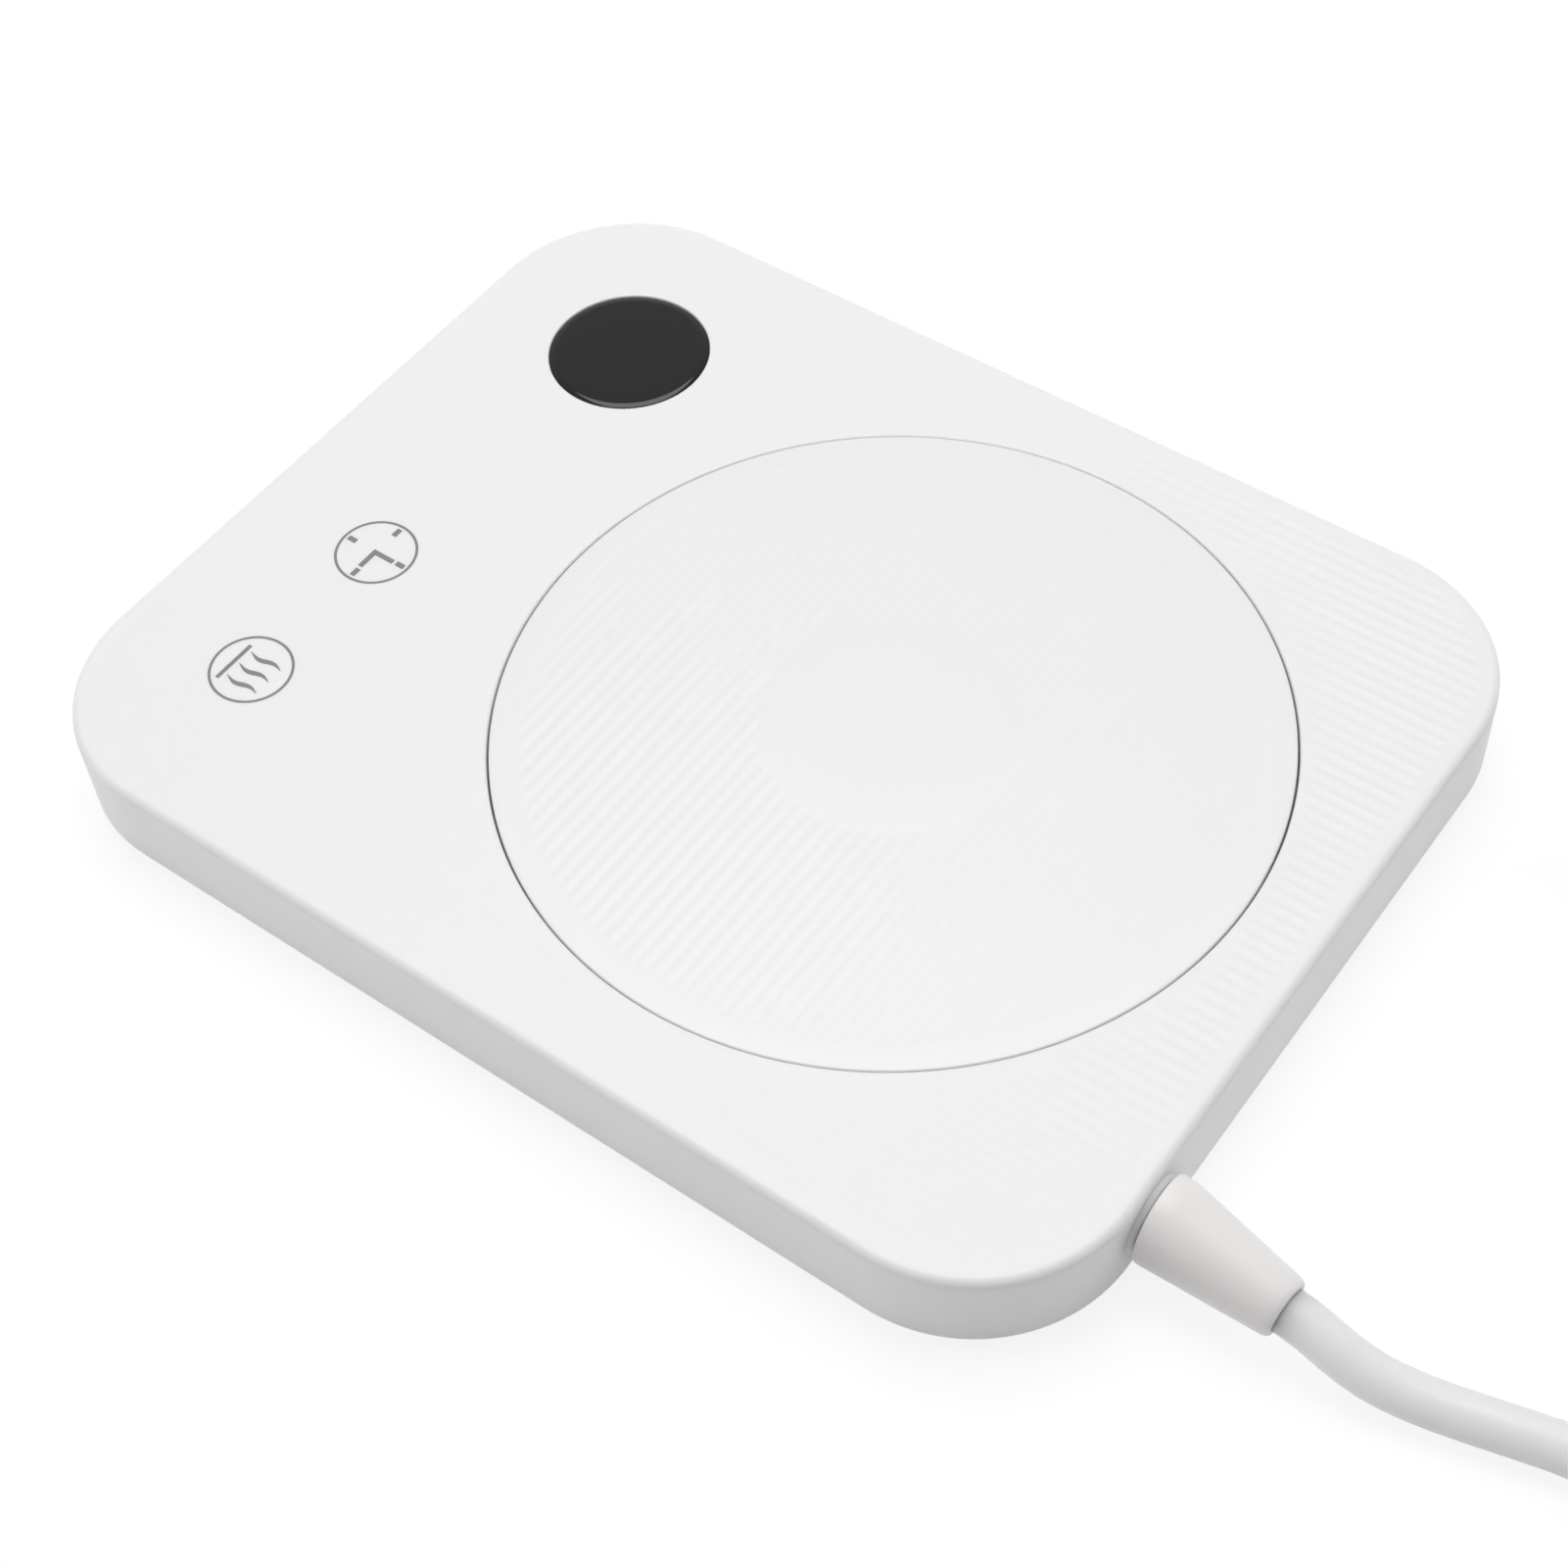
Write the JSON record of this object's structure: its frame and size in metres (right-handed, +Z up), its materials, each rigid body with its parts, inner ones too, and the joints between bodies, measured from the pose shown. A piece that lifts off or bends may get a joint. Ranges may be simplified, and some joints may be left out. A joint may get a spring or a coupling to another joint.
{
  "type": "electric mug warmer",
  "caption": "Flat rounded-rectangle mug warmer with a large sprung round warming plate, a black round display window, touch keys and a mains lead.",
  "frame": {"origin": "centre of the housing's outline, on the surface that the feet stand on", "axes": "+Z up; -Y the front with display and keys; +Y the rear with the mains lead; +X the right seen from the front"},
  "size_m": [0.135, 0.3204, 0.016],
  "materials": {
    "casing_abs": "fine satin, moulded",
    "cover_abs": "fine matt, moulded",
    "foot_rubber": "matt, moulded",
    "zinc_steel": "zinc plated",
    "enamelled_aluminium": "satin enamel on aluminium",
    "heatproof_nylon": "matt, glass-filled, moulded",
    "polyimide_film": "amber film",
    "glass_felt": "pressed glass-fibre felt",
    "fuse_metal": "nickel plated",
    "epoxy_black": "matt moulded epoxy",
    "spring_steel": "drawn wire",
    "acetal": "moulded",
    "board_laminate": "solder mask over glass laminate",
    "lead_pvc": "extruded",
    "lens_acrylic": "polished, printed black behind",
    "capacitor_box": "moulded box",
    "capacitor_sleeve": "shrunk sleeve",
    "terminal_nylon": "moulded",
    "wire_pvc": "extruded",
    "lead_silicone": "extruded silicone",
    "cord_pvc": "extruded, satin",
    "relief_pvc": "moulded, satin",
    "plug_pvc": "moulded, satin",
    "nickel_brass": "nickel plated"
  },
  "bodies": {
    "base": {"top_casing": "casing_abs", "bottom_cover": "cover_abs", "rubber_feet": "foot_rubber", "cover_screws": "zinc_steel", "plate_springs": "spring_steel", "switch_body": "epoxy_black", "switch_board": "board_laminate", "switch_connector": "acetal", "switch_lead": "lead_pvc", "control_board": "board_laminate", "board_screws": "zinc_steel", "display_lens": "lens_acrylic", "display_module": "epoxy_black", "touch_springs": "spring_steel", "controller_chip": "epoxy_black", "buzzer": "epoxy_black", "filter_capacitor": "capacitor_box", "smoothing_capacitor": "capacitor_sleeve", "mains_fuse": "fuse_metal", "triac": "epoxy_black", "mains_terminal": "terminal_nylon", "heater_connector": "acetal", "mains_wires": "wire_pvc", "heater_leads": "lead_silicone", "cord_sheath_end": "cord_pvc", "cord_clamp": "cover_abs", "clamp_screws": "zinc_steel", "strain_relief": "relief_pvc", "cord_lead": "cord_pvc", "cord_coil": "cord_pvc", "cord_tail": "cord_pvc", "plug_body": "plug_pvc", "plug_blades": "nickel_brass"},
    "plate": {"warming_plate": "enamelled_aluminium", "plate_carrier": "heatproof_nylon", "plate_screws": "zinc_steel", "heater_mat": "polyimide_film", "insulation_pad": "glass_felt", "thermal_fuse": "fuse_metal", "temperature_sensor": "epoxy_black"},
    "plunger": {"switch_plunger": "acetal"}
  },
  "joints": [
    {"name": "plate_press", "type": "slide", "parent": "base", "child": "plate", "axis": [0, 0, -1], "range_m": [0, 0.0012], "stiffness_N_per_m": 500, "springref_m": -0.0032, "deforming": ["plate_springs", "heater_leads"]},
    {"name": "switch_press", "type": "slide", "parent": "base", "child": "plunger", "axis": [0, 0, -1], "range_m": [0, 0.0012]}
  ],
  "couplings": [
    {"joint": "switch_press", "follows": "plate_press", "ratio": 1}
  ]
}
